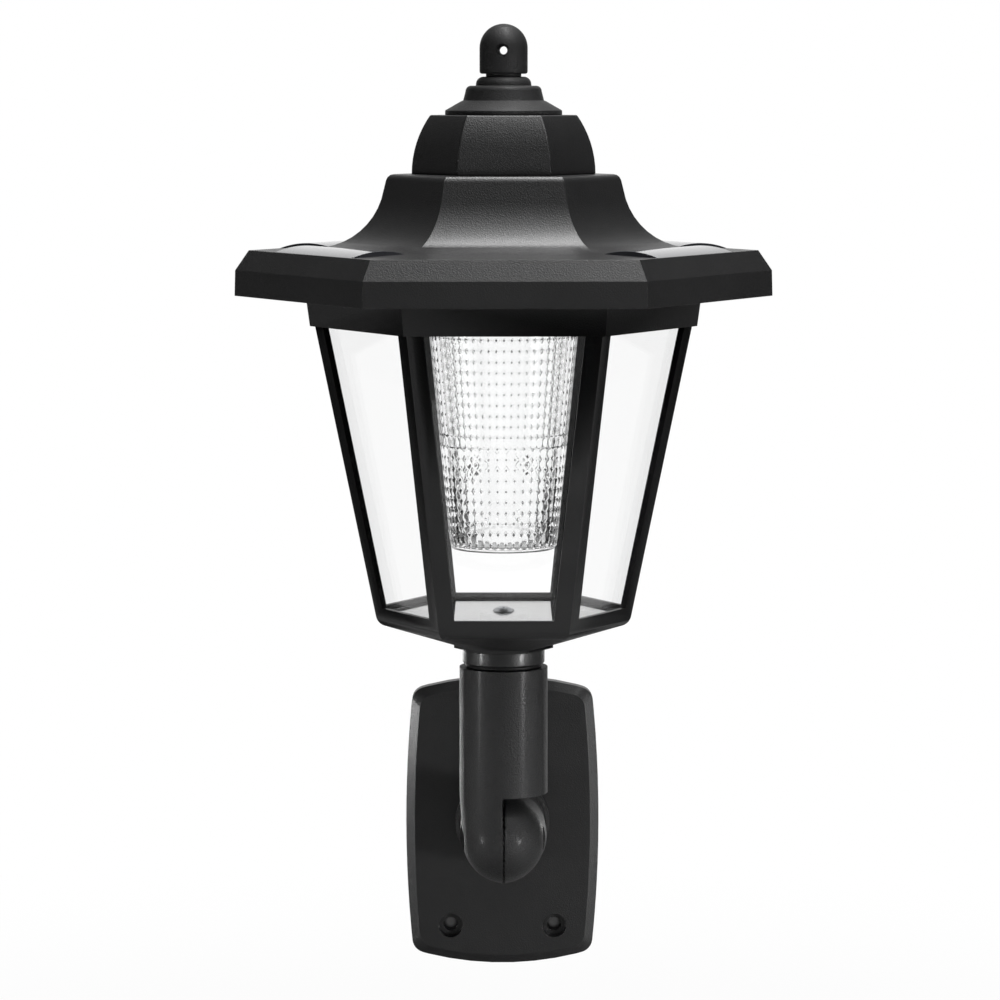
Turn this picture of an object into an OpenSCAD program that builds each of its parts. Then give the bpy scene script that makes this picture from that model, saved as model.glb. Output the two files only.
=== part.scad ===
// Hexagonal solar wall lantern on a tilting wall bracket.
// The origin is the centre of the wall plate's back face. +Z is up and +Y points into the wall.

/* [Wall plate] */
// Width of the wall plate at mid height
plate_w = 59.9; // [56:0.1:70]
// Height of the wall plate on its centre line
plate_h = 90.2; // [84:0.2:110]
// Thickness of the wall plate
plate_t = 6; // [5:0.25:9]
// Bulge of each long side of the plate over its corners
plate_side_bulge = 2.6; // [0.8:0.1:4]
// Bulge of the top and bottom edges of the plate over its corners
plate_end_bulge = 4.8; // [2:0.1:8]
// Corner radius of the plate's outline
plate_corner_r = 4.5; // [2:0.25:7]
// Width of the bevel round the plate's front edge
plate_bevel = 2.7; // [1:0.1:3]
// Height of that bevel
plate_bevel_h = 1.6; // [0.6:0.1:2.6]
// Thickness of the plate's front skin
plate_skin = 2.6; // [2:0.1:3.5]
// Width of the lip and the ribs on the plate's back
plate_rib_w = 2.4; // [1.6:0.1:4]
// Distance between the two lower wall screw holes
wall_hole_spacing = 32.3; // [28:0.1:38]
// Height of the wall screw holes above or below the plate's centre
wall_hole_offset = 33; // [28:0.5:36]
// Radius of a wall screw hole
wall_hole_r = 2.15; // [1.75:0.05:2.6]
// Radius of the recess for a wall screw's head
wall_recess_r = 3.7; // [3.4:0.1:4.6]
// Depth of the recess for a wall screw's head
wall_recess_h = 2.8; // [0.6:0.1:3]
// Distance of each arm screw from the plate's centre
arm_screw_at = 6.6; // [5:0.1:8]
// Radius of an arm screw's shank
arm_screw_r = 1.6; // [1.4:0.05:1.9]
// Radius of an arm screw's head
arm_head_r = 2.9; // [2.5:0.1:3.2]
// Height of an arm screw's head
arm_head_h = 2; // [1.4:0.1:2.2]
// Length of an arm screw's shank
arm_screw_len = 14; // [10:0.5:20]

/* [Arm and post] */
// Distance from the wall to the lantern's axis
wall_gap = 75; // [74:0.5:95]
// Rise of the arm from the plate's centre to the tilt pivot
arm_rise = 7.6; // [0:0.2:10]
// Outer radius of the arm and of the post
limb_r = 12.9; // [12.5:0.1:14]
// Radius of the round flange where the arm meets the plate
arm_flange_r = 14.6; // [14.5:0.1:17]
// Height of that flange in front of the plate
arm_flange_h = 3; // [2:0.25:6]
// Radius of the ball at the end of each limb
knuckle_r = 13.2; // [12.9:0.05:13.6]
// Half width of the knuckle along the tilt axis
knuckle_side = 12.1; // [11.4:0.1:12.8]
// Height of the post's rim above the tilt pivot
post_h = 51.2; // [46:0.1:70]
// Radius of the socket in the top of the post
socket_r = 10.4; // [9.8:0.05:10.5]
// Depth of the socket in the top of the post
socket_depth = 24; // [20:0.5:26]
// Number of teeth round each face of the knuckle
tooth_count = 40; // [24:2:60]
// Height of the knuckle's teeth
tooth_h = 0.35; // [0.2:0.05:1]
// Inner radius of the ring of teeth
tooth_inner_r = 8; // [7:0.25:10]
// Radius of the tilt screw's shank
tilt_screw_r = 2; // [1.5:0.05:2.5]
// Radius of the tilt screw's head
tilt_head_r = 3.5; // [3:0.1:4.2]
// Height of the tilt screw's head
tilt_head_h = 3; // [2:0.1:3.6]
// Width of the tilt nut across its flats
nut_flats = 7; // [6:0.1:8]
// Thickness of the tilt nut
nut_t = 3.2; // [2.4:0.1:4]
// Depth of the tilt screw's head and nut below the knuckle's sides
head_sink = 1.6; // [1:0.1:2]

/* [Neck] */
// Radius of the round boss under the lantern
neck_boss_r = 12; // [11.8:0.05:12.8]
// Height of the round boss under the lantern
neck_boss_h = 4.2; // [4:0.1:12]
// Radius of the narrow collar between the boss and the post's rim
neck_groove_r = 11.2; // [11:0.05:11.6]
// Height of that collar, seen as a dark groove
neck_groove_h = 1.2; // [0.6:0.1:2]
// Length of the plug that goes into the post
spigot_h = 22; // [16:0.5:23.5]
// Wall of the hollow plug
spigot_wall = 2.2; // [1.6:0.1:3]

/* [Lantern body] */
// Distance from the axis to a corner at the bottom of the body
body_base_r = 36.7; // [34:0.2:40]
// Distance from the axis to a corner at the top of the body
body_top_r = 54.7; // [52:0.1:56]
// Height from the underside's centre to the body's lower corners
base_rise = 6.4; // [4:0.1:8]
// Distance from the axis to a corner of the flat pad under the body
base_pad_r = 14.5; // [14.2:0.1:18]
// Height of the flat pad under the body
base_pad_h = 0.8; // [0.4:0.1:2]
// Height of the six windows
window_h = 82; // [70:0.5:100]
// Height of the lower rail under the windows
lower_rail_h = 5.8; // [5.8:0.2:9]
// Width of each leg of a corner post
post_leg_w = 4.8; // [4:0.1:6]
// Wall of the body, square to its faces
body_wall = 1.5; // [1.2:0.1:2]
// Radius of the rounding along the body's bottom edge
body_bottom_round = 3.6; // [2:0.2:4.4]
// Height of the ring round the top of the body
ring_h = 10.4; // [8:0.2:14]
// Overhang of the ring over the body's corners
ring_step = 1.5; // [0.8:0.1:2]
// Outward slope of the ring over its height
ring_flare = 1.4; // [0:0.1:1.5]
// Wall of the ring at the foot of its corners
ring_wall = 1.8; // [1.5:0.1:2.2]
// Wall of the clear liner
liner_wall = 1.4; // [1:0.1:2]
// Gap between the liner and the frame
liner_gap = 0.15; // [0.1:0.05:0.3]
// Height of the flange round the liner's top
liner_flange_h = 1.8; // [1:0.1:2.4]
// Drop of the liner's floor below the windows
floor_drop = 1.2; // [0.4:0.1:1.8]
// Radius of the floor screw's shank
floor_screw_r = 1.9; // [1.5:0.1:2.2]
// Radius of the floor screw's head
floor_head_r = 3.2; // [2.8:0.1:4]
// Height of the floor screw's domed head
floor_head_h = 1.3; // [1:0.1:2.6]
// Length of the floor screw's shank
floor_screw_len = 22; // [19:0.5:24]

/* [Roof] */
// Distance from the axis to a corner of the brim
brim_r = 78; // [77:0.5:86]
// Drop of the skirt below the lamp tray
skirt_drop = 1.7; // [1.6:0.1:3]
// Height of the upright skirt
skirt_h = 7.4; // [6:0.2:10]
// Height of the chamfer above the skirt
chamfer_h = 5.8; // [4:0.2:7]
// Width of the chamfer at a corner
chamfer_w = 4.2; // [3:0.1:6]
// Rise of the brim's top from its edge to the bell
brim_rise = 0.7; // [0.4:0.1:2]
// Distance from the axis to a corner of the bell's foot
bell_foot_r = 54.7; // [53:0.1:56]
// Radius of the bell's hollow flare
flare_r = 20.3; // [18:0.1:20.5]
// Height of the bell over its foot
bell_h = 21.3; // [20.8:0.1:24]
// Radius of the rounded shoulder of the bell
shoulder_r = 2.4; // [1.5:0.1:3]
// Wall of the roof mouldings at a corner
roof_wall = 2.3; // [1.8:0.1:2.6]
// Wall of the brim under the solar covers
brim_wall = 3.9; // [3.6:0.1:4.4]
// Distance from the axis to a corner of the dome's base
dome_r = 26.7; // [25:0.1:28]
// Height of the dome
dome_h = 17; // [14:0.5:18]
// Radius of the dome's arched profile
dome_arc_r = 29.4; // [25:0.2:32]

/* [Top collar and finial] */
// Radius of the collar's foot
collar_r = 16.9; // [15:0.1:18]
// Height of the collar's upright rim
collar_rim_h = 1.3; // [0.6:0.1:2]
// Height of the collar's cone
collar_cone_h = 2.8; // [2:0.1:5]
// Radius of the collar's middle step
collar_step_r = 11.7; // [10:0.1:13]
// Height of the collar's middle step
collar_step_h = 4.3; // [3:0.1:6]
// Inward lean of the middle step's side
collar_step_lean = 0.7; // [0:0.1:1.5]
// Rounding of the middle step's top edge
collar_step_round = 1.6; // [1:0.1:1.8]
// Radius of the collar's top ring
collar_ring_r = 8; // [7.2:0.1:9]
// Height of the collar's top ring
collar_ring_h = 2.6; // [2.2:0.1:3]
// Rounding of the top ring's top edge
collar_ring_round = 2.2; // [1:0.1:2.4]
// Radius of the finial
finial_r = 6.95; // [6:0.05:7.4]
// Height of the finial's straight part
finial_straight_h = 7.4; // [6:0.1:10]
// Rounding of the finial's bottom edge
finial_lip_r = 0.7; // [0.4:0.1:1]
// Radius of the finial's neck
finial_neck_r = 5.1; // [4.4:0.05:5.7]
// Height of the finial's neck
finial_neck_h = 0.8; // [0.6:0.1:3]
// Radius of the hanging hole through the finial at its waist
hang_hole_r = 1.15; // [1:0.05:1.6]
// Radius of the hanging hole's flared mouths
hang_hole_mouth_r = 1.9; // [1.7:0.05:2.4]
// Length of the hanging hole's waist
hang_hole_waist_h = 4; // [2:0.5:8]
// Distance of the hanging hole below the centre of the finial's round top
hang_hole_drop = 0.7; // [0:0.1:2]
// Turn of the hanging hole away from straight ahead
hang_hole_turn = 3; // [0:1:30]
// Radius of the finial screw's shank
finial_screw_r = 2; // [1.5:0.05:2.2]

/* [Solar panels] */
// Width of a solar cover from the bell towards the brim's edge
cover_w = 17.2; // [14:0.2:17.4]
// Crown of a solar cover over its edges
cover_crown = 1.3; // [0.6:0.1:2]
// Depth to which a solar cover is let into the brim
cover_seat = 1; // [0.8:0.1:1.2]
// Bare brim between a cover's inner edge and the front or back ridge
ridge_margin = 1.8; // [1.6:0.1:5]
// Bare brim between a cover's inner edge and the side ridge
corner_margin = 5.8; // [4:0.2:10]
// Thickness of a solar cell
cell_t = 0.9; // [0.6:0.1:1.1]

/* [Lamp tray] */
// Thickness of the lamp tray
tray_t = 2.4; // [2:0.1:3]
// Height of the hexagonal locating rim under the tray
locating_rim_h = 6; // [4:0.25:8]
// Outer radius of the socket that holds the diffuser
lamp_socket_r = 28.4; // [28:0.1:30]
// Height of the socket that holds the diffuser
lamp_socket_h = 8; // [7.6:0.1:10]
// Radius of a tray screw's shank
tray_screw_r = 1.4; // [1.2:0.05:1.7]
// Length of a tray screw's shank
tray_screw_len = 7.5; // [6:0.25:8.5]
// Radius of a tray screw's head
tray_head_r = 2.8; // [2.4:0.1:3.2]
// Height of a tray screw's head
tray_head_h = 1.4; // [1:0.1:1.8]
// Length of the circuit board
board_l = 38; // [32:0.5:40]
// Width of the circuit board
board_w = 24; // [20:0.5:26]
// Thickness of the circuit board
board_t = 1.6; // [1:0.1:2]
// Height of the pillars under the circuit board
board_pillar_h = 2.4; // [2:0.1:4]
// Radius of the pillars under the circuit board
board_pillar_r = 2.6; // [2.2:0.1:3]
// Radius of a board screw's shank
board_screw_r = 1; // [0.8:0.05:1.2]
// Radius of the battery
battery_r = 7.25; // [5:0.05:7.4]
// Length of the battery
battery_len = 50; // [44:0.5:50.5]
// Distance of each battery saddle from the battery's middle
saddle_at = 15; // [10:0.5:20]
// Width of the battery's saddles and end stops
saddle_w = 12; // [8:0.5:13]
// Height of the battery's saddles
saddle_h = 4; // [3:0.25:6]
// Height of the battery's end stops
stop_h = 11; // [8:0.5:12]
// Travel of the switch's slider
switch_travel = 2; // [1.5:0.1:2.4]
// Length of the switch's case
switch_l = 9; // [8:0.25:11]
// Width of the switch's case
switch_w = 4.4; // [4:0.1:6]
// Height of the switch's case
switch_h = 4; // [3.6:0.1:5]
// Length of the switch's knob
knob_l = 3; // [2:0.1:4]
// Width of the switch's knob
knob_w = 2.2; // [1.6:0.1:2.6]

/* [Diffuser] */
// Outer radius of the diffuser at its mouth
diffuser_mouth_r = 22.6; // [21.5:0.1:23]
// Outer radius of the diffuser at its closed end
diffuser_end_r = 15.5; // [13:0.1:18]
// Length of the diffuser's tapered cup
diffuser_len = 72.4; // [60:0.2:76]
// Wall of the diffuser
diffuser_wall = 1.5; // [1.2:0.1:2]
// Height of one row of prisms
prism_pitch = 3.1; // [2.5:0.1:4]
// Depth of the prisms
prism_depth = 0.35; // [0.2:0.05:0.5]
// Height of the plain band between the two zones of prisms
band_h = 3.3; // [2:0.1:5]
// Distance of the plain band below the diffuser's mouth
band_at = 38.6; // [24:0.2:42]
// Thickness of the flange at the diffuser's mouth
cup_flange_h = 1.6; // [1.2:0.1:2]
// Radius of the flange at the diffuser's mouth
cup_flange_r = 24.2; // [24:0.1:25]
// Radius over the diffuser's bayonet lugs
lug_r = 25.8; // [25.6:0.1:26.4]
// Half of the angle that each lug takes up
lug_half_angle = 14; // [10:1:18]
// Rounding of the diffuser's closed end
cup_end_round = 2.5; // [1.5:0.1:3]

/* [Wires] */
// Radius of the wires
wire_r = 0.6; // [0.5:0.05:0.7]
// Gap between a wire and what it lies on
wire_gap = 0.05; // [0.02:0.01:0.1]
// Length of a battery wire along its contact
battery_wire_run = 4.6; // [4:0.1:5]
// Height of a battery wire's foot above the circuit board
battery_wire_rise = 1; // [0.6:0.1:2]
// Height of a battery wire's bend over the circuit board's edge
battery_wire_lift = 0.6; // [0.4:0.1:1]
// Bow of the battery wires outside the circuit board's ends
battery_wire_bow = 3; // [1:0.5:4]
// Way of the battery wires past the circuit board's long edge
battery_wire_turn = 1; // [0.5:0.5:2]
// Distance of the battery wires' solder points from the circuit board's ends
battery_solder_x = 5; // [4:0.5:6]
// Distance of those points from the circuit board's long edge
battery_solder_y = 2.5; // [2:0.5:3]
// Distance of the solar wires' solder points from the circuit board's ends
solar_solder_x = 1.5; // [1.5:0.5:3]
// Length of a solar wire's end between its cell and the canopy's underside
solar_wire_end = 1; // [0.5:0.1:1.5]
// Drop of a solar wire under the canopy before it turns inwards
solar_wire_drop = 1.2; // [1:0.1:2]
// Height of a solar wire over the tray
solar_wire_rise = 2; // [1.5:0.1:3]
// Height of a solar wire's bend over the circuit board
solar_wire_lift = 0.4; // [0.3:0.1:0.8]

/* [Fits] */
// Gap between faces that seat on each other
seat_gap = 0.1; // [0.05:0.05:0.2]
// Radial gap of a turning fit
running_gap = 0.05; // [0.02:0.01:0.1]
// Gap between parts that pass each other
pass_gap = 0.3; // [0.3:0.05:0.45]
// Gap between a knuckle's ball and the shoulder of the other limb
lap_gap = 0.8; // [0.3:0.1:1.2]

/* [Hidden] */
$fn = 64;
over = 1;
hex_flat = cos(30);
black = "#1c1c1e";

// Levels of the stack, from the pivot up
pivot_z = arm_rise;
post_top_z = pivot_z + post_h;
boss_bottom_z = post_top_z + neck_groove_h;
base_z = boss_bottom_z + neck_boss_h;
corner_z = base_z + base_rise;
window_bottom_z = corner_z + lower_rail_h;
ring_z = window_bottom_z + window_h;
ring_top_z = ring_z + ring_h;
tray_z = ring_top_z + seat_gap;
brim_bottom_z = tray_z - skirt_drop;
chamfer_z = brim_bottom_z + skirt_h;
brim_edge_z = chamfer_z + chamfer_h;
bell_foot_z = brim_edge_z + brim_rise;
bell_top_z = bell_foot_z + bell_h;
dome_top_z = bell_top_z + dome_h;
collar_top_z = dome_top_z + collar_rim_h + collar_cone_h + collar_step_h + collar_ring_h;
finial_z = collar_top_z + finial_neck_h;
finial_ball_z = finial_z + finial_straight_h;
hang_hole_z = finial_ball_z - hang_hole_drop;

// The arm runs down from the pivot to the middle of the plate
arm_run = wall_gap - plate_t;
arm_slope = atan(arm_rise / arm_run);
arm_len = norm([arm_run, arm_rise]);
lap_z = knuckle_r + lap_gap;
tooth_gap = 0.1;
tooth_r = knuckle_r - 0.25;
lap_face = tooth_h + tooth_gap / 2;
head_seat_x = knuckle_side - head_sink - tilt_head_h;
nut_seat_x = knuckle_side - head_sink - nut_t;

// The body's slanting faces
body_slope = (body_top_r - body_base_r) / (ring_z - corner_z);
wall_at_corner = body_wall / hex_flat;
function body_r(z) = body_base_r + (z - corner_z) * body_slope;
floor_z = window_bottom_z - liner_wall - floor_drop - seat_gap;
ring_r = body_top_r + ring_step;
ring_lip_r = ring_r + ring_flare;
ring_inner_r = ring_r - ring_wall;
base_skin = 1.8;

// The tray's parts, measured down and up from its underside
rim_outer_r = ring_inner_r - pass_gap;
rim_wall = 2.2;
tray_top_z = tray_z + tray_t;
tray_screw_at = (ring_lip_r + brim_r - roof_wall) / 2;
board_z = tray_top_z + board_pillar_h;
board_y = -9;
board_screw_x = board_l / 2 - 3.5;
board_screw_y = board_y - board_w / 4;
tray_r = brim_r - roof_wall - pass_gap;
battery_y = board_y + board_w / 2 + battery_r + 6.75;
battery_z = tray_top_z + battery_r + 0.6;
contact_t = 0.8;
contact_w = saddle_w - 2;
switch_y = -lamp_socket_r - switch_w - 3.2;
knob_slot = [knob_l + switch_travel + 0.6, knob_w + 0.6];
boss_r = tray_screw_r + 2;
underside_z = brim_edge_z - brim_wall + 0.3;

// The diffuser's twist fitting
cup_top_z = tray_z - 1.2;
mouth_z = cup_top_z - cup_flange_h;
led_r = 2.5;

// The solar covers lie on the brim between the bell and the chamfer
brim_edge_r = brim_r - chamfer_w;
brim_foot_a = (bell_foot_r - 1.5) * hex_flat;
brim_edge_a = brim_edge_r * hex_flat;
brim_mid_a = (brim_foot_a + brim_edge_a) / 2;
brim_slope = atan(brim_rise / (brim_edge_a - bell_foot_r * hex_flat));
brim_mid_z = brim_edge_z + (brim_edge_a - brim_mid_a) * tan(brim_slope);
cover_arc_r = (cover_w * cover_w / 4 + cover_crown * cover_crown) / (2 * cover_crown);
cell_inset = 1.5;
wire_hole_a = brim_mid_a - cover_w / 2 + cell_inset + 2;

finial_head_h = 2.4;
finial_screw_top = hang_hole_z - hang_hole_mouth_r - 1.4;

// A point on a circle in the plane of a profile
function on_arc(x, z, r, a) = [x + r * sin(a), z + r * cos(a)];

// A six-sided turned solid with its corners left and right
module hex_turn() {
    rotate_extrude($fn = 6) children();
}

// A six-sided plate or bar with its corners left and right
module hex_bar(r, h) {
    cylinder(r = r, h = h, $fn = 6);
}

// Turns the children to the middle of each of the six faces
module each_face() {
    for (i = [0:5]) rotate([0, 0, 60 * i]) children();
}

// A ring of radial teeth that stand up from z = 0
module crown(r_in, r_out, h, count) {
    turns = 2 * count;
    function ring(r, z0, z1) = [for (i = [0:turns - 1])
        [r * cos(180 * i / count), r * sin(180 * i / count), i % 2 == 0 ? z0 : z1]];
    sunk = -0.6;
    points = concat(ring(r_out, sunk, sunk), ring(r_out, 0, h), ring(r_in, 0, h * r_in / r_out),
        ring(r_in, sunk, sunk));
    faces = [for (k = [0:3]) for (i = [0:turns - 1]) let (
        a = k * turns + i,
        b = k * turns + (i + 1) % turns,
        c = ((k + 1) % 4) * turns + (i + 1) % turns,
        d = ((k + 1) % 4) * turns + i) for (f = [[a, b, c], [a, c, d]]) f];
    polyhedron(points, [for (f = faces) [f[0], f[2], f[1]]]);
}

// One half of the lapped knuckle at the origin, with its limb running up; the half lies at negative x
module limb(len) {
    half = 2 * knuckle_r;
    translate([0, 0, lap_z]) cylinder(r = limb_r, h = len - lap_z);
    intersection() {
        union() {
            cylinder(r1 = knuckle_side, r2 = limb_r, h = lap_z);
            cylinder(r = knuckle_side, h = lap_z + over);
            translate([knuckle_r - knuckle_side, 0, 0]) sphere(r = knuckle_r);
        }
        translate([-lap_face - half, -half, -half]) cube([half, 2 * half, 2 * half]);
    }
    translate([-lap_face, 0, 0]) rotate([0, 90, 0]) {
        crown(tooth_inner_r, tooth_r, tooth_h, tooth_count);
        translate([0, 0, -over]) cylinder(r = tooth_inner_r - 0.5, h = tooth_h + over);
    }
}

// The cross recess in the face of a screw's head that lies at a height
module cross_slot(head_r, face_z) {
    arm = 0.6 * head_r;
    w = 0.22 * head_r;
    for (a = [0, 90]) rotate([0, 0, a])
        translate([-arm, -w / 2, face_z - 0.3 * head_r]) cube([2 * arm, w, 0.6 * head_r]);
}

module at_pivot() {
    translate([0, -wall_gap, pivot_z]) children();
}

module on_axis() {
    translate([0, -wall_gap, 0]) children();
}

// Outline of the wall plate: four bulged sides with rounded corners, drawn in by inset
module plate_outline(inset) {
    side_r = (plate_h * plate_h / 4 + plate_side_bulge * plate_side_bulge) / (2 * plate_side_bulge);
    end_r = (plate_w * plate_w / 4 + plate_end_bulge * plate_end_bulge) / (2 * plate_end_bulge);
    offset(r = plate_corner_r, $fn = 32) offset(delta = -plate_corner_r - inset) intersection() {
        translate([side_r - plate_w / 2, 0]) circle(r = side_r, $fn = 360);
        translate([plate_w / 2 - side_r, 0]) circle(r = side_r, $fn = 360);
        translate([0, end_r - plate_h / 2]) circle(r = end_r, $fn = 90);
        translate([0, plate_h / 2 - end_r]) circle(r = end_r, $fn = 90);
    }
}

function wall_holes() = [[-wall_hole_spacing / 2, -wall_hole_offset],
    [wall_hole_spacing / 2, -wall_hole_offset], [0, wall_hole_offset]];

// The plate stands with its back on the wall
module wall_plate() color(black) rotate([90, 0, 0]) {
    core_h = plate_t - plate_skin;
    difference() {
        hull() {
            linear_extrude(plate_t - plate_bevel_h) plate_outline(0);
            linear_extrude(plate_t) plate_outline(plate_bevel);
        }
        difference() {
            translate([0, 0, -over]) linear_extrude(core_h + over) plate_outline(plate_rib_w);
            for (a = [0, 90]) rotate([0, 0, a])
                translate([-plate_rib_w / 2, -plate_h, -2 * over]) cube([plate_rib_w, 2 * plate_h, plate_t]);
            for (p = wall_holes()) translate([p.x, p.y, -over]) cylinder(r = wall_recess_r + 1.6, h = plate_t);
            translate([0, 0, -over]) cylinder(r = limb_r, h = plate_t);
        }
        for (s = [-1, 1]) translate([s * arm_screw_at, 0, -over]) {
            cylinder(r = arm_screw_r + running_gap, h = plate_t + 2 * over);
            cylinder(r = arm_head_r + pass_gap, h = arm_head_h + seat_gap + over);
        }
        for (p = wall_holes()) translate([p.x, p.y, -over]) {
            cylinder(r = wall_hole_r, h = plate_t + 2 * over);
            translate([0, 0, plate_t - wall_recess_h + over])
                cylinder(r = wall_recess_r, h = wall_recess_h + over);
        }
    }
}

// The arm's round foot stands on the plate, with the limb running forward and up to the knuckle
module bracket_arm() color(black) {
    foot_y = plate_t + seat_gap;
    edge = 1;
    difference() {
        union() {
            rotate([90, 0, 0]) translate([0, 0, foot_y]) {
                cylinder(r = arm_flange_r, h = arm_flange_h - edge);
                translate([0, 0, arm_flange_h - edge])
                    cylinder(r1 = arm_flange_r, r2 = arm_flange_r - edge, h = edge);
            }
            at_pivot() rotate([-90 - arm_slope, 0, 0]) mirror([1, 0, 0])
                limb(arm_len + limb_r * tan(arm_slope));
        }
        translate([-2 * limb_r, -foot_y, -2 * limb_r]) cube(4 * limb_r);
        at_pivot() rotate([0, 90, 0]) {
            cylinder(r = tilt_screw_r + running_gap, h = 2 * knuckle_r);
            translate([0, 0, head_seat_x - seat_gap]) cylinder(r = tilt_head_r + pass_gap, h = knuckle_r);
        }
        arm_screw_places() cylinder(r = arm_screw_r + running_gap, h = arm_screw_len + over);
    }
}

// Places the children on the arm screws, with z running forward from under the heads
module arm_screw_places() {
    for (s = [-1, 1]) translate([s * arm_screw_at, -arm_head_h - 0.1, 0]) rotate([90, 0, 0]) children();
}

module arm_screws() color("#8c8f94") arm_screw_places() difference() {
    union() {
        cylinder(r = arm_screw_r, h = arm_screw_len);
        translate([0, 0, -arm_head_h]) cylinder(r = arm_head_r, h = arm_head_h);
    }
    cross_slot(arm_head_r, -arm_head_h);
}

module post_tube() color(black) {
    difference() {
        at_pivot() limb(post_h);
        on_axis() translate([0, 0, post_top_z - socket_depth]) cylinder(r = socket_r, h = socket_depth + over);
        at_pivot() rotate([0, -90, 0]) {
            cylinder(r = tilt_screw_r + running_gap, h = 2 * knuckle_r);
            translate([0, 0, nut_seat_x - seat_gap])
                cylinder(r = (nut_flats / 2 + seat_gap) / hex_flat, h = knuckle_r, $fn = 6);
        }
    }
}

module tilt_screw() color("#8c8f94") at_pivot() rotate([0, 90, 0]) {
    shank = nut_seat_x + nut_t;
    translate([0, 0, -shank]) cylinder(r = tilt_screw_r, h = shank + head_seat_x);
    difference() {
        translate([0, 0, head_seat_x]) cylinder(r = tilt_head_r, h = tilt_head_h);
        cross_slot(tilt_head_r, head_seat_x + tilt_head_h);
    }
}

module tilt_nut() color("#8c8f94") at_pivot() rotate([0, -90, 0]) translate([0, 0, nut_seat_x]) difference() {
    cylinder(r = nut_flats / 2 / hex_flat, h = nut_t, $fn = 6);
    translate([0, 0, -over]) cylinder(r = tilt_screw_r + running_gap, h = nut_t + 2 * over);
}

module neck_spigot() color(black) {
    plug_r = socket_r - running_gap;
    on_axis() difference() {
        union() {
            translate([0, 0, boss_bottom_z]) cylinder(r = neck_boss_r, h = neck_boss_h);
            translate([0, 0, post_top_z + seat_gap]) cylinder(r = neck_groove_r, h = neck_groove_h);
            translate([0, 0, post_top_z - spigot_h + 1]) cylinder(r = plug_r, h = spigot_h);
            translate([0, 0, post_top_z - spigot_h]) cylinder(r1 = plug_r - 1, r2 = plug_r, h = 1);
        }
        translate([0, 0, post_top_z - spigot_h - over])
            cylinder(r = plug_r - spigot_wall, h = spigot_h - neck_groove_h);
        cylinder(r = floor_screw_r + running_gap, h = base_z + over);
    }
}

// Half outline of the lantern body from its centre out, with the rail's bottom edge rounded
module body_profile() {
    lean = atan(body_slope);
    round_z = corner_z + body_bottom_round;
    round_x = body_r(round_z) - body_bottom_round / cos(lean);
    inner_floor_r = body_r(floor_z) - wall_at_corner;
    polygon(concat(
        [[0, base_z], [base_pad_r, base_z], [base_pad_r, base_z + base_pad_h]],
        [for (i = [0:5]) on_arc(round_x, round_z, body_bottom_round, 165 - i * (75 - lean) / 5)],
        [[body_top_r, ring_z], [ring_r, ring_z], [ring_lip_r, ring_top_z], [ring_inner_r, ring_top_z],
            [ring_inner_r, ring_z + 0.6], [body_r(ring_z) - wall_at_corner, ring_z + 0.6],
            [inner_floor_r, floor_z], [inner_floor_r - 3, floor_z],
            [inner_floor_r - 3, corner_z + base_skin], [base_pad_r, base_z + base_skin],
            [0, base_z + base_skin]]));
}

// Outline of one window, as seen square to its face
module window_outline() {
    half_low = body_r(window_bottom_z) / 2 - post_leg_w;
    half_high = body_r(ring_z) / 2 - post_leg_w;
    polygon([[-half_low, window_bottom_z], [half_low, window_bottom_z], [half_high, ring_z],
        [-half_high, ring_z]]);
}

module lantern_frame() color(black) on_axis() {
    difference() {
        union() {
            hex_turn() body_profile();
            translate([0, 0, base_z + over]) cylinder(r = 7, h = floor_z - base_z - over);
        }
        each_face() rotate([90, 0, 0]) translate([0, 0, body_base_r / 2]) linear_extrude(body_top_r)
            window_outline();
        cylinder(r = floor_screw_r + running_gap, h = floor_z + over);
    }
}

// Distance from the axis to a corner of the liner's outside at a height
function liner_r(z) = body_r(z) - wall_at_corner - liner_gap;

module clear_liner() color("#dfe9ee", 0.35) on_axis() {
    bottom = floor_z + seat_gap;
    top = ring_z + 0.6 + liner_gap + liner_flange_h;
    ledge = top - liner_flange_h;
    wall = liner_wall / hex_flat;
    difference() {
        hex_turn() polygon([[0, bottom], [liner_r(bottom), bottom], [liner_r(ledge), ledge],
            [ring_inner_r - liner_gap, ledge], [ring_inner_r - liner_gap, top], [liner_r(top) - wall, top],
            [liner_r(bottom) - wall, bottom + liner_wall], [0, bottom + liner_wall]]);
        translate([0, 0, bottom - over]) cylinder(r = floor_screw_r + running_gap, h = liner_wall + 2 * over);
    }
}

module floor_screw() color("#b8bcc2") on_axis() {
    seat = floor_z + seat_gap + liner_wall + seat_gap;
    cap_r = (floor_head_r * floor_head_r + floor_head_h * floor_head_h) / (2 * floor_head_h);
    translate([0, 0, seat - floor_screw_len]) cylinder(r = floor_screw_r, h = floor_screw_len + 0.2);
    difference() {
        intersection() {
            translate([0, 0, seat + floor_head_h - cap_r]) sphere(r = cap_r);
            translate([0, 0, seat]) cylinder(r = floor_head_r, h = floor_head_h);
        }
        cross_slot(floor_head_r, seat + floor_head_h);
    }
}

// Radius of the diffuser's smooth wall at a depth below its mouth
function cup_r(d) = diffuser_mouth_r + (diffuser_end_r - diffuser_mouth_r) * d / diffuser_len;

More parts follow.
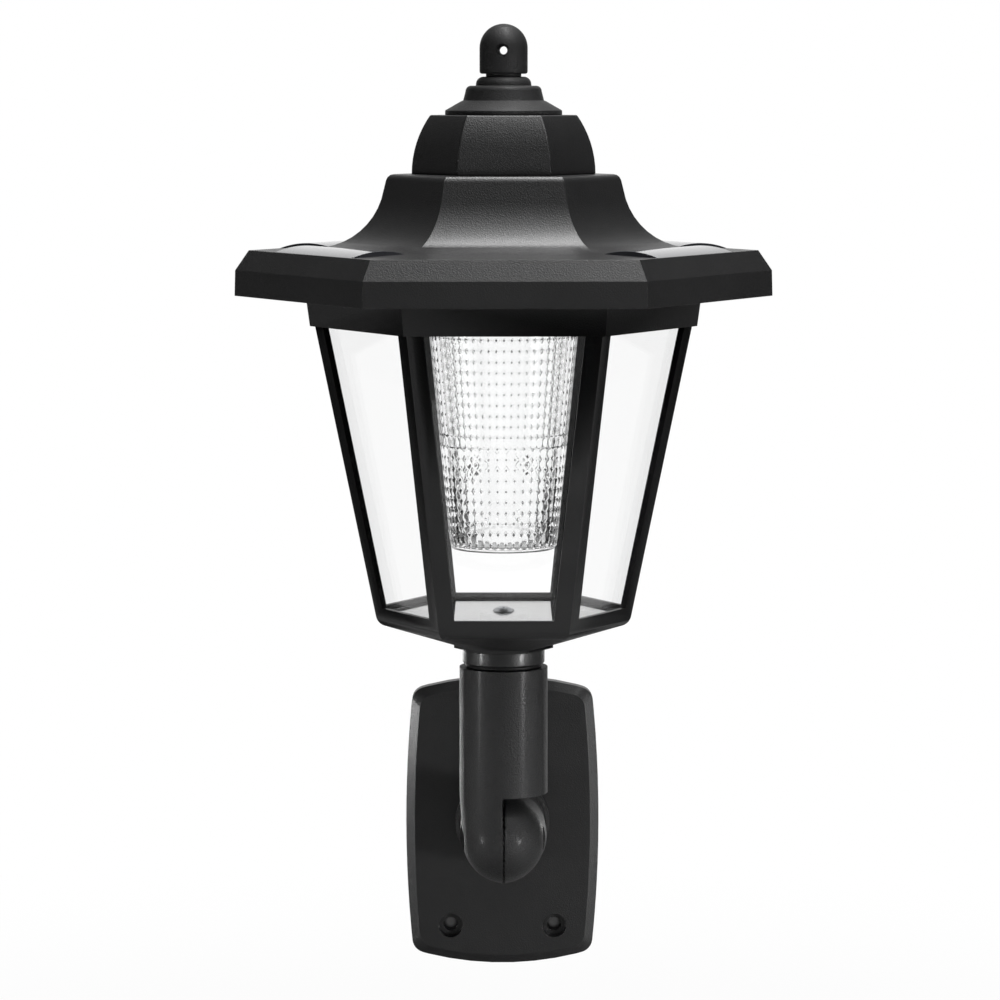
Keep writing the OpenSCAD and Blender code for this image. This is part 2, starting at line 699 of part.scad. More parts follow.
// Half outline of the diffuser, with rows of prisms above and below a plain band
module cup_profile() {
    rows_above = floor(band_at / prism_pitch);
    rows_below = floor((diffuser_len - band_at - band_h - 3) / prism_pitch);
    starts = concat([for (i = [0:rows_above - 1]) band_at - (rows_above - i) * prism_pitch],
        [for (i = [0:rows_below - 1]) band_at + band_h + i * prism_pitch]);
    polygon(concat(
        [[cup_r(0) - diffuser_wall, cup_top_z], [cup_flange_r, cup_top_z], [cup_flange_r, mouth_z],
            [cup_r(0), mouth_z]],
        [for (d = starts) for (s = [0, 0.5, 1]) let (deep = d + s * prism_pitch)
            [cup_r(deep) - (s == 0.5 ? 0 : prism_depth), mouth_z - deep]],
        [for (a = [90:30:180]) on_arc(diffuser_end_r - cup_end_round, mouth_z - diffuser_len + cup_end_round,
            cup_end_round, a)],
        [[0, mouth_z - diffuser_len], [0, mouth_z - diffuser_len + diffuser_wall],
            [diffuser_end_r - diffuser_wall - 1.6, mouth_z - diffuser_len + diffuser_wall],
            [cup_r(diffuser_len - 3) - diffuser_wall - prism_depth, mouth_z - diffuser_len + 3.2]]));
}

// A wedge of a disc, used for the bayonet's lugs and slots
module wedge(r, half_angle, h) {
    linear_extrude(h) polygon(concat([[0, 0]], [for (a = [-half_angle:half_angle / 4:half_angle])
        [r * cos(a), r * sin(a)]]));
}

module diffuser_cup() color("#e8eef2", 0.35) on_axis() {
    rotate_extrude($fn = 72) cup_profile();
    translate([0, 0, mouth_z]) for (i = [0:2]) rotate([0, 0, 120 * i]) difference() {
        wedge(lug_r, lug_half_angle, cup_flange_h);
        translate([0, 0, -over]) cylinder(r = cup_flange_r - 0.6, h = cup_flange_h + 2 * over);
    }
}

module tray_screw_places() {
    for (i = [0:2]) rotate([0, 0, 60 + 120 * i]) translate([tray_screw_at, 0, 0]) children();
}

module board_screw_places() {
    for (s = [-1, 1]) translate([s * board_screw_x, board_screw_y, 0]) children();
}

module lamp_tray() color("#242426") on_axis() {
    ledge_h = 1.6;
    ledge_z = mouth_z - pass_gap - ledge_h;
    socket_in = lug_r + pass_gap;
    end_x = battery_len / 2 + contact_t + 1;
    difference() {
        union() {
            translate([0, 0, tray_z]) hex_bar(tray_r, tray_t);
            translate([0, 0, tray_z - locating_rim_h]) difference() {
                hex_bar(rim_outer_r, locating_rim_h + over);
                translate([0, 0, -over]) hex_bar(rim_outer_r - rim_wall, locating_rim_h + 3 * over);
            }
            translate([0, 0, tray_z - lamp_socket_h]) cylinder(r = lamp_socket_r, h = lamp_socket_h + over);
            board_screw_places() translate([0, 0, tray_top_z - over])
                cylinder(r = board_pillar_r, h = board_pillar_h + over);
            for (s = [-1, 1]) translate([s * (end_x + 1) - 1, battery_y - saddle_w / 2, tray_top_z - over])
                cube([2, saddle_w, stop_h + over]);
            difference() {
                for (s = [-1, 1]) translate([s * saddle_at - 1, battery_y - saddle_w / 2, tray_top_z - over])
                    cube([2, saddle_w, saddle_h + over]);
                translate([-battery_len, battery_y, battery_z]) rotate([0, 90, 0])
                    cylinder(r = battery_r + seat_gap, h = 2 * battery_len);
            }
        }
        translate([0, 0, tray_z - lamp_socket_h - over]) cylinder(r = socket_in, h = lamp_socket_h + over);
        translate([0, 0, tray_z - over]) cylinder(r = led_r + 0.4, h = tray_t + 2 * over);
        tray_screw_places() translate([0, 0, tray_z - over])
            cylinder(r = tray_screw_r + running_gap, h = tray_t + 2 * over);
        board_screw_places() translate([0, 0, tray_z + over])
            cylinder(r = board_screw_r + running_gap, h = board_z);
        translate([(switch_travel - knob_slot.x) / 2, switch_y - knob_slot.y / 2, tray_z - over])
            cube([knob_slot.x, knob_slot.y, tray_t + 2 * over]);
    }
    difference() {
        translate([0, 0, ledge_z]) cylinder(r = socket_in + 0.5, h = ledge_h);
        translate([0, 0, ledge_z - over]) cylinder(r = cup_flange_r + pass_gap, h = ledge_h + 2 * over);
        for (i = [0:2]) rotate([0, 0, 120 * i - 2 * lug_half_angle - 8]) translate([0, 0, ledge_z - over])
            wedge(socket_in + over, lug_half_angle + 1.5, ledge_h + 2 * over);
    }
}

module tray_screws() color("#8c8f94") on_axis() tray_screw_places() {
    translate([0, 0, tray_z - tray_head_h]) cylinder(r = tray_head_r, h = tray_head_h);
    translate([0, 0, tray_z - over]) cylinder(r = tray_screw_r, h = tray_screw_len + over);
}

module switch_body() color("#3a3a3c") on_axis() {
    translate([switch_travel / 2, switch_y, tray_top_z]) difference() {
        translate([-switch_l / 2, -switch_w / 2, 0]) cube([switch_l, switch_w, switch_h]);
        translate([-knob_slot.x / 2, -knob_slot.y / 2, -over])
            cube([knob_slot.x, knob_slot.y, switch_h - 1.4 + over]);
    }
}

module switch_slider() color("#d8d8d4") on_axis() {
    reach = 1.1;
    translate([-knob_l / 2, switch_y - knob_w / 2, tray_z - reach])
        cube([knob_l, knob_w, reach + tray_t + switch_h - 1.7]);
}

module circuit_board() color("#2f6b3c") on_axis() {
    top = board_z + board_t;
    difference() {
        translate([-board_l / 2, board_y - board_w / 2, board_z]) cube([board_l, board_w, board_t]);
        board_screw_places() translate([0, 0, board_z - over])
            cylinder(r = board_screw_r + 0.25, h = board_t + 2 * over);
    }
    translate([board_l / 5, board_y - board_w / 6, top - 0.1]) cube([board_l / 8, board_w / 6, 1.6]);
    translate([-board_l / 4, board_y + board_w / 12, top + 1.4]) rotate([0, 90, 0])
        cylinder(r = 1.5, h = board_l / 6);
    translate([-board_l / 3, board_y - board_w / 8, top - 0.1]) cube([board_l / 12, board_w / 15, 1]);
}

module board_screws() color("#8c8f94") on_axis() board_screw_places() {
    translate([0, 0, board_z + board_t]) cylinder(r = 2 * board_screw_r, h = 1.2);
    translate([0, 0, board_z - board_pillar_h]) cylinder(r = board_screw_r, h = board_pillar_h + board_t + 0.1);
}

module led() color("#f2f0dc") on_axis() {
    dome_z = tray_z - led_r;
    rim_z = tray_z + 0.8;
    translate([0, 0, dome_z]) sphere(r = led_r);
    translate([0, 0, dome_z]) cylinder(r = led_r, h = rim_z - dome_z);
    translate([0, 0, rim_z]) cylinder(r = led_r + 0.3, h = 1);
    for (s = [-1, 1]) translate([s * led_r / 2, 0, rim_z + 0.6]) cylinder(r = 0.25, h = board_z - rim_z - 0.6);
}

module battery() color("#3f7a4a") on_axis() translate([-battery_len / 2, battery_y, battery_z])
    rotate([0, 90, 0]) {
        cylinder(r = battery_r, h = battery_len - 1.2);
        cylinder(r = 0.36 * battery_r, h = battery_len);
    }

module battery_contacts() color("#c9ccd0") on_axis() {
    middle_x = battery_len / 2 + contact_t / 2 + 0.05;
    for (s = [-1, 1]) translate([s * middle_x - contact_t / 2, battery_y - contact_w / 2, tray_top_z])
        cube([contact_t, contact_w, stop_h + 1]);
}

// A wire swept through its points, with a mitred eight-sided section
module wire(points, r) {
    last = len(points) - 1;
    function unit(v) = v / norm(v);
    function heading(i) = unit((i == 0 ? [0, 0, 0] : unit(points[i] - points[i - 1]))
        + (i == last ? [0, 0, 0] : unit(points[i + 1] - points[i])));
    function section(i) = let (
        along = heading(i),
        side = unit(cross(along, abs(along.z) > 0.9 ? [0, 1, 0] : [0, 0, 1])),
        up = cross(side, along)) [for (k = [0:7]) points[i] + r * (cos(45 * k) * side + sin(45 * k) * up)];
    polyhedron([for (i = [0:last]) each section(i)], concat(
        [[for (k = [0:7]) k]],
        [for (i = [0:last - 1]) for (k = [0:7]) let (n = (k + 1) % 8)
            each [[8 * i + k, 8 * i + n + 8, 8 * i + n], [8 * i + k, 8 * i + k + 8, 8 * i + n + 8]]],
        [[for (k = [7:-1:0]) 8 * last + k]]));
}

module battery_wires() color("#a3282a") on_axis() {
    contact_x = battery_len / 2 + 0.1 + wire_r;
    from_y = battery_y - contact_w / 2 - wire_gap;
    rest_z = board_z + board_t + wire_r + wire_gap;
    foot_z = rest_z + battery_wire_rise;
    half_l = board_l / 2;
    edge_y = board_y + board_w / 2;
    for (s = [-1, 1]) wire([[s * contact_x, from_y, foot_z], [s * contact_x, from_y - battery_wire_run, foot_z],
        [s * (half_l + battery_wire_bow), edge_y + battery_wire_turn, rest_z + battery_wire_lift],
        [s * (half_l - battery_solder_x), edge_y - battery_solder_y, rest_z]], wire_r);
}

// Sectors of the brim that carry a panel: direction, and the side on which the corner lies
function sector(name) = name == "front_left" ? [210, 1] : name == "front_right" ? [330, -1]
    : name == "back_left" ? [150, -1] : [30, 1];

// Places the children on the brim's sloping top, with y outwards and z square to it
module on_brim(turn) {
    rotate([0, 0, turn - 90]) translate([0, brim_mid_a, brim_mid_z]) rotate([-brim_slope, 0, 0]) children();
}

// Plan of a panel with square ends, drawn in by inset; its side corner end lies towards side
module panel_plan(side, inset) {
    half_in = (brim_mid_a - cover_w / 2) * tan(30);
    half_w = cover_w / 2 - inset;
    near = ridge_margin + inset - half_in;
    far = half_in - corner_margin - inset;
    scale([side, 1]) polygon([[near, -half_w], [far, -half_w], [far, half_w], [near, half_w]]);
}

module solar_cover(name) {
    s = sector(name);
    color("#15171c", 0.6) on_axis() on_brim(s[0]) intersection() {
        translate([0, 0, -cover_seat + seat_gap]) linear_extrude(cover_seat + 2 * cover_crown)
            panel_plan(s[1], 0);
        translate([-brim_r, 0, cover_crown - cover_arc_r]) rotate([0, 90, 0])
            cylinder(r = cover_arc_r, h = 2 * brim_r, $fn = 180);
    }
}

module solar_cell(name) {
    s = sector(name);
    color("#1b2238") on_axis() on_brim(s[0]) translate([0, 0, -cover_seat - cell_t]) linear_extrude(cell_t)
        panel_plan(s[1], cell_inset);
}

module solar_cell_front_left() { solar_cell("front_left"); }
module solar_cell_front_right() { solar_cell("front_right"); }
module solar_cell_back_left() { solar_cell("back_left"); }
module solar_cell_back_right() { solar_cell("back_right"); }
module solar_cover_front_left() { solar_cover("front_left"); }
module solar_cover_front_right() { solar_cover("front_right"); }
module solar_cover_back_left() { solar_cover("back_left"); }
module solar_cover_back_right() { solar_cover("back_right"); }

module solar_wires() color("#2b2b2e") on_axis() {
    rest_z = board_z + board_t + wire_r + wire_gap;
    cell_foot_z = brim_mid_z - cover_seat - cell_t;
    inward = 0.96;
    outward = 1.35;
    for (name = ["front_left", "front_right", "back_left", "back_right"]) {
        turn = sector(name)[0];
        start = wire_hole_a * [cos(turn), sin(turn)];
        end = [sign(start.x) * (board_l / 2 - solar_solder_x), board_y + sign(start.y) * board_w / 6];
        wire([[start.x, start.y, cell_foot_z - solar_wire_end],
            [start.x, start.y, underside_z - solar_wire_drop],
            [start.x * inward, start.y * inward, tray_top_z + solar_wire_rise],
            [end.x * outward, end.y, rest_z + solar_wire_lift], [end.x, end.y, rest_z]], wire_r);
    }
}

// Half outline of the canopy: brim, hollow flare and shoulder outside, then the same inside
module canopy_profile() {
    flare_z = bell_foot_z + flare_r;
    flare_end = 80;
    top = on_arc(bell_foot_r, flare_z, flare_r, -180 + flare_end);
    shoulder_x = top.x - 0.6 - shoulder_r;
    inner_r = flare_r + roof_wall;
    lower = on_arc(bell_foot_r, flare_z, inner_r, -155);
    polygon(concat(
        [[brim_r, brim_bottom_z], [brim_r - 0.2, chamfer_z], [brim_edge_r, brim_edge_z]],
        [for (a = [0:8:flare_end]) on_arc(bell_foot_r, flare_z, flare_r, -180 + a)],
        [for (a = [75:-25:0]) on_arc(shoulder_x, bell_top_z - shoulder_r, shoulder_r, a)],
        [[0, bell_top_z], [0, bell_top_z - roof_wall], [shoulder_x, bell_top_z - roof_wall]],
        [for (a = [72:-8:32]) on_arc(bell_foot_r, flare_z, inner_r, -180 + a)],
        [[lower.x, underside_z], [brim_r - roof_wall, underside_z], [brim_r - roof_wall, brim_bottom_z]]));
}

module roof_canopy() color(black) on_axis() {
    difference() {
        union() {
            hex_turn() canopy_profile();
            tray_screw_places() translate([0, 0, tray_top_z + seat_gap])
                cylinder(r = boss_r, h = underside_z - tray_top_z + 0.6);
        }
        translate([0, 0, bell_top_z - roof_wall - over])
            cylinder(r = finial_screw_r + running_gap, h = roof_wall + 2 * over);
        tray_screw_places() translate([0, 0, tray_z])
            cylinder(r = tray_screw_r + running_gap, h = tray_screw_len + 0.5);
        for (name = ["front_left", "front_right", "back_left", "back_right"]) {
            s = sector(name);
            on_brim(s[0]) {
                translate([0, 0, -cover_seat]) linear_extrude(10) offset(delta = seat_gap) panel_plan(s[1], 0);
                translate([0, 0, -cover_seat - cell_t - seat_gap]) linear_extrude(10)
                    panel_plan(s[1], cell_inset - seat_gap);
                translate([0, wire_hole_a - brim_mid_a, -10]) cylinder(r = 1.3, h = 12);
            }
        }
    }
}

// An arched side of the dome, from its foot up to a height, drawn in by wall
function dome_arc(wall, h) = let (r = dome_arc_r - wall, turn = asin(h / r))
    [for (i = [0:8]) [dome_r - dome_arc_r + r * cos(turn * i / 8), bell_top_z + r * sin(turn * i / 8)]];

module dome_cap() color(black) on_axis() {
    inner = dome_arc(roof_wall, dome_h - roof_wall);
    difference() {
        hex_turn() polygon(concat(dome_arc(0, dome_h), [[0, dome_top_z], [0, dome_top_z - roof_wall]],
            [for (i = [8:-1:0]) inner[i]]));
        translate([0, 0, bell_top_z]) cylinder(r = finial_screw_r + running_gap, h = dome_h + over);
    }
}

// A round step that leans in towards a rounded top edge, standing at a height
module round_step(r, foot, h, lean, edge) {
    rotate_extrude() polygon(concat([[0, foot], [r, foot]],
        [for (a = [90:-15:0]) on_arc(r - lean - edge, foot + h - edge, edge, a)], [[0, foot + h]]));
}

module top_collar() color(black) on_axis() {
    cone_z = dome_top_z + collar_rim_h;
    step_z = cone_z + collar_cone_h;
    difference() {
        union() {
            translate([0, 0, dome_top_z]) cylinder(r = collar_r, h = collar_rim_h);
            translate([0, 0, cone_z]) cylinder(r1 = collar_r, r2 = collar_step_r + 0.3, h = collar_cone_h);
            round_step(collar_step_r, step_z, collar_step_h, collar_step_lean, collar_step_round);
            round_step(collar_ring_r, step_z + collar_step_h, collar_ring_h, 0, collar_ring_round);
        }
        translate([0, 0, dome_top_z - over]) cylinder(r = finial_screw_r + running_gap, h = collar_top_z);
    }
}

module hanging_finial() color(black) on_axis() {
    mouth_h = finial_r - hang_hole_waist_h / 2;
    mouth_flare = (hang_hole_mouth_r - hang_hole_r) / mouth_h;
    difference() {
        union() {
            translate([0, 0, collar_top_z]) cylinder(r = finial_neck_r, h = finial_neck_h + over);
            rotate_extrude() polygon(concat([[0, finial_z]],
                [for (a = [180:-30:90])
                    on_arc(finial_r - finial_lip_r, finial_z + finial_lip_r, finial_lip_r, a)],
                [[finial_r, finial_ball_z], [0, finial_ball_z]]));
            translate([0, 0, finial_ball_z]) sphere(r = finial_r);
        }
        translate([0, 0, hang_hole_z]) rotate([90, 0, -hang_hole_turn]) for (s = [0, 180]) rotate([s, 0, 0]) {
            cylinder(r = hang_hole_r, h = finial_r);
            translate([0, 0, hang_hole_waist_h / 2])
                cylinder(r1 = hang_hole_r, r2 = hang_hole_mouth_r + mouth_flare * over, h = mouth_h + over);
        }
        translate([0, 0, collar_top_z - over])
            cylinder(r = finial_screw_r + running_gap, h = finial_screw_top + 0.3 - collar_top_z + over);
    }
}

module finial_screw() color("#8c8f94") on_axis() {
    seat = bell_top_z - roof_wall;
    translate([0, 0, seat]) cylinder(r = finial_screw_r, h = finial_screw_top - seat);
    difference() {
        translate([0, 0, seat - finial_head_h]) cylinder(r = 2 * finial_screw_r, h = finial_head_h);
        cross_slot(2 * finial_screw_r, seat - finial_head_h);
    }
}

wall_plate();
bracket_arm();
arm_screws();
post_tube();
tilt_screw();
tilt_nut();
neck_spigot();
lantern_frame();
clear_liner();
floor_screw();
diffuser_cup();
lamp_tray();
tray_screws();
switch_body();
switch_slider();
circuit_board();
board_screws();
led();
battery();
battery_contacts();
battery_wires();
solar_wires();
roof_canopy();
solar_cell_front_left();
solar_cell_front_right();
solar_cell_back_left();
solar_cell_back_right();
solar_cover_front_left();
solar_cover_front_right();
solar_cover_back_left();
solar_cover_back_right();
dome_cap();
top_collar();
hanging_finial();
finial_screw();
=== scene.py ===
import math

import bpy
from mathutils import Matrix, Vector


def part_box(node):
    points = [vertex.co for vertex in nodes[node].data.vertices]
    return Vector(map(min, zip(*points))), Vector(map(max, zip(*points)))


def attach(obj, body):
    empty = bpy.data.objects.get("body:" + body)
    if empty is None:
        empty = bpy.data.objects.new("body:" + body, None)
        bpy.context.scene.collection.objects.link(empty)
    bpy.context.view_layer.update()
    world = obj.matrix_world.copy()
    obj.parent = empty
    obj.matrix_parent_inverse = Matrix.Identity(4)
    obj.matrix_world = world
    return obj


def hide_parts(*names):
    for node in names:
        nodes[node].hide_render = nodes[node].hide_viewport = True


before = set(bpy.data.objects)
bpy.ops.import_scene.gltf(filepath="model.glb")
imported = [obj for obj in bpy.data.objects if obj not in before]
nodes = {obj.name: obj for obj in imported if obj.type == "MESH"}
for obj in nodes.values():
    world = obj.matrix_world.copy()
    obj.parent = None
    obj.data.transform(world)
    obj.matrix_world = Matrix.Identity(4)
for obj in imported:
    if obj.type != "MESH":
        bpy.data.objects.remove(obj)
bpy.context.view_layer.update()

MM = 0.001
plate_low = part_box("wall_plate")[0]
tube_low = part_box("post_tube")[0]
canopy_low, canopy_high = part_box("roof_canopy")
cup_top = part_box("diffuser_cup")[1].z

# The lantern's upright axis, and the radius of the brim's corners
AXIS = Vector(((canopy_low.x + canopy_high.x) / 2, (canopy_low.y + canopy_high.y) / 2, 0))
BRIM_R = (canopy_high.x - canopy_low.x) / 2

# The photograph's camera: a long lens level with the finial's foot. Its focal length and the column where the
# lantern's axis stands are in pixels of the photograph, its sensor in millimetres and its pitch in radians
FOCAL_PX = 4036
IMAGE_PX = 1000
AXIS_PX = 503.6
SENSOR = 36
CAMERA_DISTANCE = 15 * BRIM_R
CAMERA_HEIGHT = canopy_low.z + 62.2 * MM
CAMERA_SIDE = -6 * MM
CAMERA_NEAR = 0.01
CAMERA_FAR = 20
PITCH_DOWN = 0.10367


def link(obj):
    bpy.context.scene.collection.objects.link(obj)
    return obj


def mesh_object(name, points, faces):
    mesh = bpy.data.meshes.new(name)
    mesh.from_pydata([tuple(p) for p in points], [], faces)
    mesh.update()
    return link(bpy.data.objects.new(name, mesh))


def add_camera():
    data = bpy.data.cameras.new("camera")
    data.sensor_width = SENSOR
    data.lens = SENSOR * FOCAL_PX / IMAGE_PX
    data.clip_start = CAMERA_NEAR
    data.clip_end = CAMERA_FAR
    camera = link(bpy.data.objects.new("camera", data))
    place = Vector((CAMERA_SIDE, AXIS.y - CAMERA_DISTANCE, CAMERA_HEIGHT))
    aim_x = (IMAGE_PX / 2 - AXIS_PX) * CAMERA_DISTANCE / FOCAL_PX
    yaw = math.atan2(place.x - aim_x, CAMERA_DISTANCE)
    camera.location = place
    camera.rotation_euler = (math.pi / 2 - PITCH_DOWN, 0, yaw)
    bpy.context.scene.camera = camera


# Materials

def new_material(name):
    material = bpy.data.materials.new(name)
    material.use_nodes = True
    tree = material.node_tree
    shader = tree.nodes["Principled BSDF"]
    return material, tree, shader


def node(tree, kind, **settings):
    made = tree.nodes.new(kind)
    for name, value in settings.items():
        if name in made.inputs:
            made.inputs[name].default_value = value
        else:
            setattr(made, name, value)
    return made


def textured(tree, kind, **settings):
    """A texture node that reads the piece's own coordinates, in metres."""
    coordinates = node(tree, "ShaderNodeTexCoord")
    made = node(tree, kind, **settings)
    tree.links.new(coordinates.outputs["Object"], made.inputs["Vector"])
    return made


def ramp(tree, source, low, high, low_at=0.0, high_at=1.0):
    """Turns a texture's value into a blend of two colours."""
    made = node(tree, "ShaderNodeValToRGB")
    made.color_ramp.elements[0].position = low_at
    made.color_ramp.elements[0].color = (*low, 1)
    made.color_ramp.elements[1].position = high_at
    made.color_ramp.elements[1].color = (*high, 1)
    tree.links.new(source, made.inputs["Fac"])
    return made.outputs["Color"]


def spread(tree, source, low, high):
    """Turns a texture's value from 0 to 1 into a value from low to high."""
    made = node(tree, "ShaderNodeMapRange")
    made.inputs["To Min"].default_value = low
    made.inputs["To Max"].default_value = high
    tree.links.new(source, made.inputs["Value"])
    return made.outputs["Result"]


def bump(tree, shader, layers):
    """Stacks bumps on a shader: each layer is a height output, a strength and a depth in metres."""
    last = None
    for height, strength, depth in layers:
        made = node(tree, "ShaderNodeBump", Strength=strength, Distance=depth)
        tree.links.new(height, made.inputs["Height"])
        if last:
            tree.links.new(last, made.inputs["Normal"])
        last = made.outputs["Normal"]
    tree.links.new(last, shader.inputs["Normal"])


# The two tones that the black mouldings' colour drifts between, outside and inside, and their grain's height
BLACK_DARK = (0.004, 0.004, 0.0043)
BLACK_LIGHT = (0.008, 0.008, 0.0083)
INNER_DARK = (0.006, 0.006, 0.006)
INNER_LIGHT = (0.01, 0.01, 0.01)
PEBBLE_HEIGHT = 0.07 * MM
GRAIN_HEIGHT = 0.06 * MM


def black_plastic(name, rough, grain, sheen, dark=BLACK_DARK, light=BLACK_LIGHT):
    """Injection-moulded black plastic with a pebbled grain, under a thin coat as glossy as the sheen."""
    material, tree, shader = new_material(name)
    shader.inputs["IOR"].default_value = 1.46
    shader.inputs["Coat Weight"].default_value = sheen
    shader.inputs["Coat Roughness"].default_value = 0.2
    clouds = textured(tree, "ShaderNodeTexNoise", Scale=45, Detail=4, Roughness=0.6)
    fine = textured(tree, "ShaderNodeTexNoise", Scale=3200, Detail=3, Roughness=0.7)
    pebbles = textured(tree, "ShaderNodeTexVoronoi", Scale=2400, feature="SMOOTH_F1", Smoothness=0.6)
    tree.links.new(ramp(tree, clouds.outputs["Fac"], dark, light, 0.3, 0.75), shader.inputs["Base Color"])
    tree.links.new(spread(tree, fine.outputs["Fac"], *rough), shader.inputs["Roughness"])
    layers = [(pebbles.outputs["Distance"], grain, PEBBLE_HEIGHT), (fine.outputs["Fac"], grain, GRAIN_HEIGHT)]
    bump(tree, shader, layers)
    return material


# Tints of the three clear plastics
LINER_TINT = (0.998, 0.999, 0.999)
PRISM_TINT = (0.995, 0.997, 0.998)
LED_TINT = (0.95, 0.9, 0.72)


def clear_plastic(name, tint, rough, wave, wall_ior, flat_ior):
    """Clear plastic with a wavy surface; a lower refractive index makes its upright walls mirror less."""
    material, tree, shader = new_material(name)
    coordinates = node(tree, "ShaderNodeTexCoord")
    parts = node(tree, "ShaderNodeSeparateXYZ")
    tree.links.new(coordinates.outputs["Normal"], parts.inputs[0])
    level = node(tree, "ShaderNodeMath", operation="ABSOLUTE")
    tree.links.new(parts.outputs["Z"], level.inputs[0])
    tree.links.new(spread(tree, level.outputs[0], wall_ior, flat_ior), shader.inputs["IOR"])
    shader.inputs["Base Color"].default_value = (*tint, 1)
    shader.inputs["Transmission Weight"].default_value = 1
    shader.inputs["Roughness"].default_value = rough
    flow = textured(tree, "ShaderNodeTexNoise", Scale=35, Detail=1)
    bump(tree, shader, [(flow.outputs["Fac"], wave, 0.3 * MM)])
    return material


def cover_plastic():
    """Smoked glossy plastic over the solar cells."""
    material, tree, shader = new_material("solar_cover")
    shader.inputs["IOR"].default_value = 1.5
    shader.inputs["Transmission Weight"].default_value = 0.3
    shader.inputs["Base Color"].default_value = (0.05, 0.052, 0.06, 1)
    shader.inputs["Roughness"].default_value = 0.12
    shader.inputs["Coat Weight"].default_value = 0.4
    shader.inputs["Coat Roughness"].default_value = 0.06
    flow = textured(tree, "ShaderNodeTexNoise", Scale=60, Detail=1)
    bump(tree, shader, [(flow.outputs["Fac"], 0.05, 0.2 * MM)])
    return material


def cell_silicon(turn):
    """Dark silicon with fine silver lines square to the bell, turned to its sector."""
    material, tree, shader = new_material(f"solar_cell_{turn}")
    shader.inputs["Roughness"].default_value = 0.22
    shader.inputs["Coat Weight"].default_value = 0.6
    coordinates = node(tree, "ShaderNodeTexCoord")
    mapping = node(tree, "ShaderNodeMapping", vector_type="TEXTURE")
    mapping.inputs["Location"].default_value = AXIS
    mapping.inputs["Rotation"].default_value = (0, 0, math.radians(turn - 90))
    tree.links.new(coordinates.outputs["Object"], mapping.inputs["Vector"])
    lines = node(tree, "ShaderNodeTexWave", Scale=42, bands_direction="X")
    tree.links.new(mapping.outputs["Vector"], lines.inputs["Vector"])
    silver = ramp(tree, lines.outputs["Fac"], (0.006, 0.008, 0.02), (0.35, 0.36, 0.38), 0.985, 0.995)
    tree.links.new(silver, shader.inputs["Base Color"])
    mottle = textured(tree, "ShaderNodeTexNoise", Scale=700, Detail=2)
    bump(tree, shader, [(mottle.outputs["Fac"], 0.1, 0.03 * MM)])
    return material


def plated_steel(name, tone, rough):
    """Zinc-plated steel with fine turning marks."""
    material, tree, shader = new_material(name)
    shader.inputs["Metallic"].default_value = 1
    brushed = textured(tree, "ShaderNodeTexNoise", Scale=900, Detail=4, Roughness=0.7)
    dull = tuple(0.75 * part for part in tone)
    tree.links.new(ramp(tree, brushed.outputs["Fac"], dull, tone), shader.inputs["Base Color"])
    tree.links.new(spread(tree, brushed.outputs["Fac"], rough, rough + 0.15), shader.inputs["Roughness"])
    bump(tree, shader, [(brushed.outputs["Fac"], 0.15, 0.02 * MM)])
    return material


def satin(name, dark, light, rough):
    """A plain coloured plastic or lacquer with a little mottling."""
    material, tree, shader = new_material(name)
    mottle = textured(tree, "ShaderNodeTexNoise", Scale=300, Detail=4, Roughness=0.6)
    tree.links.new(ramp(tree, mottle.outputs["Fac"], dark, light, 0.3, 0.7), shader.inputs["Base Color"])
    tree.links.new(spread(tree, mottle.outputs["Fac"], rough, rough + 0.1), shader.inputs["Roughness"])
    bump(tree, shader, [(mottle.outputs["Fac"], 0.1, 0.03 * MM)])
    return material


def distance_fade(tree, start, end, low, high):
    """A value from low to high, as the distance from the piece's own origin goes from start to end."""
    coordinates = node(tree, "ShaderNodeTexCoord")
    reach = node(tree, "ShaderNodeVectorMath", operation="LENGTH")
    tree.links.new(coordinates.outputs["Object"], reach.inputs[0])
    fade = node(tree, "ShaderNodeMapRange", interpolation_type="SMOOTHSTEP")
    fade.inputs["From Min"].default_value = start
    fade.inputs["From Max"].default_value = end
    fade.inputs["To Min"].default_value = low
    fade.inputs["To Max"].default_value = high
    tree.links.new(reach.outputs["Value"], fade.inputs["Value"])
    return fade.outputs["Result"]


def seen_plainly(tree):
    """1 for rays straight from the camera or through clear plastic, and 0 for all others."""
    path = node(tree, "ShaderNodeLightPath")
    seen = node(tree, "ShaderNodeMath", operation="MAXIMUM")
    tree.links.new(path.outputs["Is Camera Ray"], seen.inputs[0])
    tree.links.new(path.outputs["Is Transmission Ray"], seen.inputs[1])
    return seen.outputs[0]


def paint(obj, material):
    obj.data.materials.clear()
    obj.data.materials.append(material)


# Points nearer than the reach are welded and edges flatter than the flat angle dissolved, before the edges
# sharper than the edge angle are rounded. Angles are in degrees. The weight favours large faces in shading
WELD_REACH = 0.004 * MM
FLAT_ANGLE = 0.4
EDGE_ANGLE = 28
FACE_WEIGHT = 60


def soften(obj, width, angle):
    """Rounds a moulding's hard edges with modifiers, once its flat faces are whole again."""
    weld = obj.modifiers.new("weld", "WELD")
    weld.merge_threshold = WELD_REACH
    flat = obj.modifiers.new("flat", "DECIMATE")
    flat.decimate_type = "DISSOLVE"
    flat.angle_limit = math.radians(FLAT_ANGLE)
    edge = obj.modifiers.new("edge", "BEVEL")
    edge.width = width
    edge.segments = 2
    edge.limit_method = "ANGLE"
    edge.angle_limit = math.radians(angle)
    edge.harden_normals = False
    obj.data.shade_smooth()
    normals = obj.modifiers.new("normals", "WEIGHTED_NORMAL")
    normals.keep_sharp = False
    normals.weight = FACE_WEIGHT


def smooth_by_angle(obj, angle):
    """Smooth shading with sharp creases, on a mesh made here."""
    mesh = obj.data
    mesh.shade_smooth()
    mesh.set_sharp_from_angle(angle=math.radians(angle))


